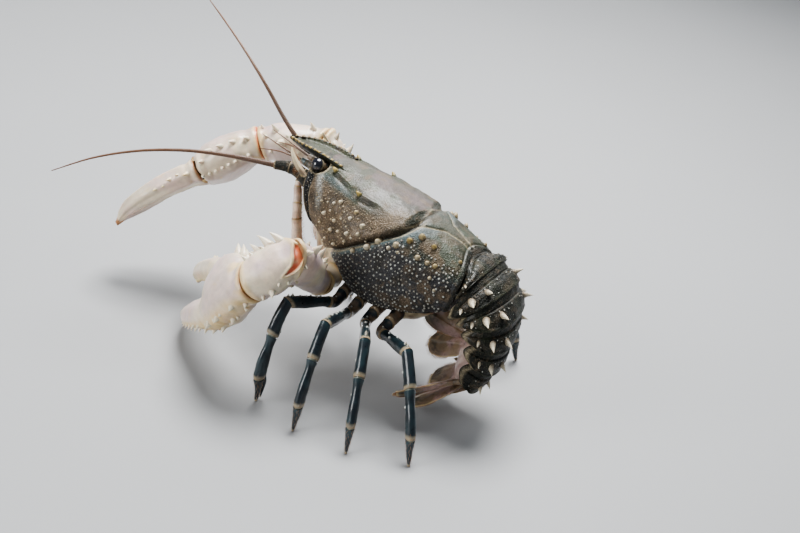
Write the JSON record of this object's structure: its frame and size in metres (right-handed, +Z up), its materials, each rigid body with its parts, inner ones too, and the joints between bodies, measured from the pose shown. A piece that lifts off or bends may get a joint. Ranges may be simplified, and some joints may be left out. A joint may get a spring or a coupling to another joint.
{
  "type": "murray crayfish",
  "caption": "Large spiny freshwater crayfish with pale claws, standing still with its tail curled under its body.",
  "frame": {"origin": "on the floor, below the centre of the whole animal's box", "axes": "+X towards the head, +Y to the animal's left, +Z up"},
  "size_m": [0.2077, 0.1416, 0.1312],
  "materials": {
    "shell": "wet, mottled olive-brown and grey",
    "ivory": "satin ivory with a pink tint",
    "leg": "glossy blue-black with pale spots",
    "fan": "thin, horny and wet",
    "eye": "high gloss",
    "feeler": "ringed",
    "mouth": "tan and cream, jointed"
  },
  "bodies": {
    "root": {"abdomen_1": "shell", "abdomen_2": "shell", "abdomen_3": "shell", "abdomen_4": "shell", "abdomen_5": "shell", "abdomen_6": "shell", "antenna_base_left": "shell", "antenna_base_right": "shell", "antenna_left_1": "feeler", "antenna_left_2": "feeler", "antenna_right_1": "feeler", "antenna_right_2": "feeler", "antenna_scale_left": "mouth", "antenna_scale_right": "mouth", "antennule_left": "feeler", "antennule_right": "feeler", "carapace": "shell", "claw_left_carpus": "ivory", "claw_left_finger": "ivory", "claw_left_ischium": "ivory", "claw_left_merus": "ivory", "claw_left_palm": "ivory", "claw_right_carpus": "ivory", "claw_right_finger": "ivory", "claw_right_ischium": "ivory", "claw_right_merus": "ivory", "claw_right_palm": "ivory", "eye_left": "eye", "eye_right": "eye", "leg_left_2_lower": "leg", "leg_left_2_upper": "leg", "leg_left_3_lower": "leg", "leg_left_3_upper": "leg", "leg_left_4_lower": "leg", "leg_left_4_upper": "leg", "leg_left_5_lower": "leg", "leg_left_5_upper": "leg", "leg_right_2_lower": "leg", "leg_right_2_upper": "leg", "leg_right_3_lower": "leg", "leg_right_3_upper": "leg", "leg_right_4_lower": "leg", "leg_right_4_upper": "leg", "leg_right_5_lower": "leg", "leg_right_5_upper": "leg", "mouth_leg_left": "mouth", "mouth_leg_right": "mouth", "telson": "fan", "thorax_underside": "mouth", "uropod_left_inner": "fan", "uropod_left_outer": "fan", "uropod_right_inner": "fan", "uropod_right_outer": "fan"}
  },
  "joints": []
}
